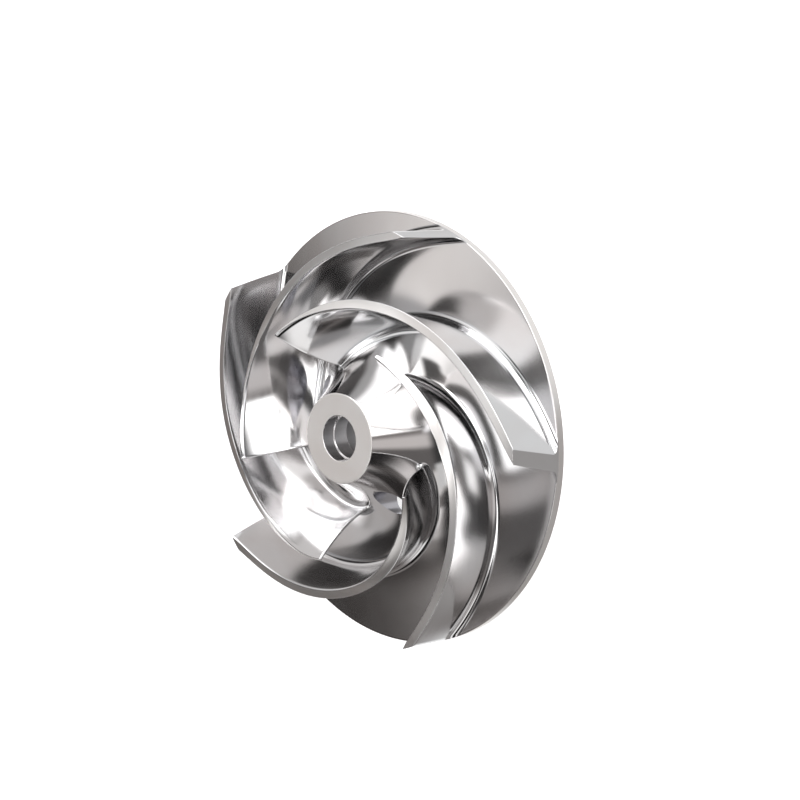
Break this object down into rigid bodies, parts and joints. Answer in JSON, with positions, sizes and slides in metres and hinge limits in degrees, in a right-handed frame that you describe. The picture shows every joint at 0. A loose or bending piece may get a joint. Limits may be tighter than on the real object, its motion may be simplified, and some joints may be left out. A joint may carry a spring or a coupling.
{
  "type": "pump impeller",
  "caption": "Semi-open mixed-flow pump impeller: flared hub and thin back disc with swept, twisted vanes, a stepped shaft bore and axial balance holes.",
  "frame": {"origin": "centre of the flat back face, on the axis of rotation, at the level of the floor it lies on", "axes": "+Z along the axis of rotation from the back face to the nose, so the inlet is up; +X is 37 degrees short of the first leading edge"},
  "size_m": [0.19, 0.19, 0.0521],
  "materials": {
    "impeller": "polished stainless steel, satin where it is turned: nose face, vane front edges and rim"
  },
  "bodies": {
    "root": {"impeller": "impeller"}
  },
  "joints": []
}
